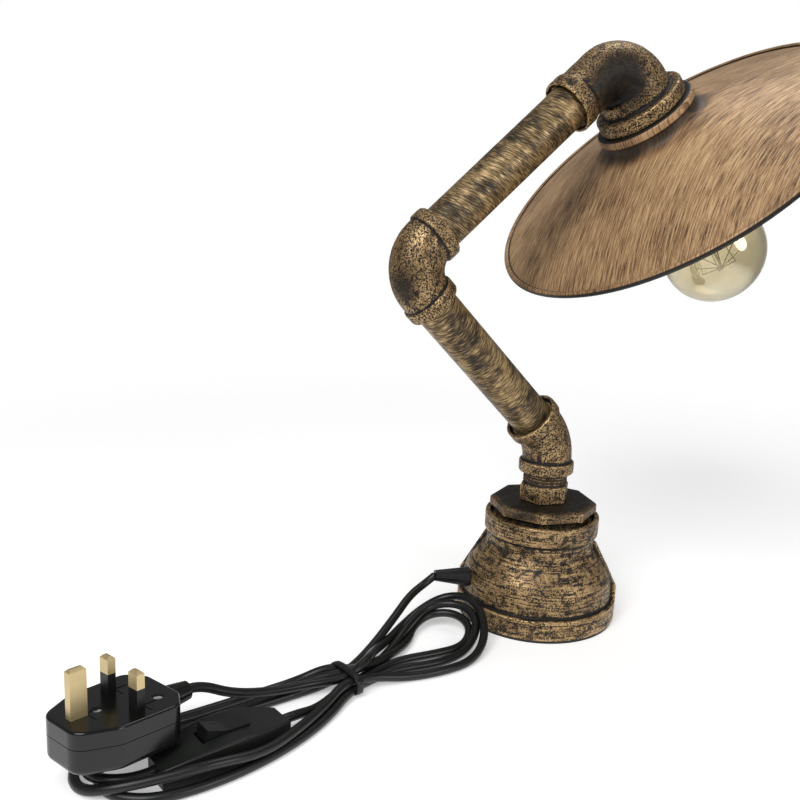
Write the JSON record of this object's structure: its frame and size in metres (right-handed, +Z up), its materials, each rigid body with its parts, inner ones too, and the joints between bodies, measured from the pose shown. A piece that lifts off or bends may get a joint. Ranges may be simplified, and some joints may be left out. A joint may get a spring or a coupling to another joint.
{
  "type": "industrial pipe table lamp",
  "caption": "Table lamp made of iron pipe fittings, with an angled arm that turns at its threads, a wide conical shade, a globe bulb, and a coiled cord with inline switch and plug.",
  "frame": {"origin": "centre of the foot on the surface that the lamp stands on", "axes": "+Z up; the plug and coiled cord lie towards -X -Y, the arm rises towards -X, back over the foot to a shade that faces +X"},
  "size_m": [0.399, 0.3602, 0.3586],
  "materials": {
    "cast_bronze": "rubbed antique bronze paint over black on rough castings",
    "pipe_bronze": "antique bronze paint brushed over black across the tube",
    "shade_copper": "antique copper paint with long brush strokes, black inside",
    "pad_black": "matte",
    "plate_black": "satin black",
    "cord_black": "soft satin black PVC",
    "plug_black": "moulded gloss black",
    "switch_black": "moulded satin black",
    "pin_brass": "bare brass",
    "steel": "zinc plated",
    "holder_black": "moulded black",
    "ceramic": "white insulator",
    "amber_glass": "clear, tinted amber",
    "clear_glass": "clear",
    "filament": "fine wire"
  },
  "bodies": {
    "base": {"base_pad": "pad_black", "base_plate": "plate_black", "reducing_socket": "cast_bronze", "octagon_bush": "cast_bronze", "hex_nipple": "cast_bronze", "strain_relief": "cord_black", "flex_base": "cord_black", "cord_lead": "cord_black", "cord_hank": "cord_black", "cord_tail": "cord_black", "cord_tie": "cord_black", "plug_base": "plug_black", "plug_cover": "plug_black", "earth_pin": "pin_brass", "line_pin": "pin_brass", "neutral_pin": "pin_brass", "pin_sleeves": "switch_black", "plug_screws": "steel", "plug_fuse": "ceramic", "plug_gland": "plug_black", "cord_grip": "switch_black", "switch_base": "switch_black", "switch_cover": "switch_black", "switch_contacts": "pin_brass"},
    "rocker": {"switch_rocker": "switch_black"},
    "lower_arm": {"elbow_45": "cast_bronze", "lower_pipe": "pipe_bronze", "flex_lower": "cord_black"},
    "upper_arm": {"elbow_90": "cast_bronze", "upper_pipe": "pipe_bronze", "flex_upper": "cord_black"},
    "head": {"reducing_elbow": "cast_bronze", "adapter_disc": "steel", "entry_tube": "pin_brass", "entry_locknut": "steel", "flex_head": "cord_black", "shade": "shade_copper", "holder_cap": "holder_black", "holder_skirt": "holder_black", "holder_insert": "ceramic", "screw_shell": "pin_brass", "centre_contact": "pin_brass", "bulb_cap": "pin_brass", "bulb_glass": "amber_glass", "bulb_stem": "clear_glass", "filament_cage": "filament"}
  },
  "joints": [
    {"name": "lower_arm_turn", "type": "hinge", "parent": "base", "child": "lower_arm", "pos_m": [0, 0, 0.116], "axis": [0, 0, 1], "range_deg": [-90, 90]},
    {"name": "upper_arm_turn", "type": "hinge", "parent": "lower_arm", "child": "upper_arm", "pos_m": [-0.09467, -0.04782, 0.22023], "axis": [-0.6366, -0.3216, 0.7009], "range_deg": [-45, 45]},
    {"name": "head_turn", "type": "hinge", "parent": "upper_arm", "child": "head", "pos_m": [0.0225, 0.01137, 0.33596], "axis": [0.6695, 0.3382, 0.6613], "range_deg": [-45, 45]},
    {"name": "switch_rock", "type": "hinge", "parent": "base", "child": "rocker", "pos_m": [-0.1686, -0.1734, 0.0116], "axis": [0.6494, -0.7604, 0], "range_deg": [0, 22]}
  ]
}
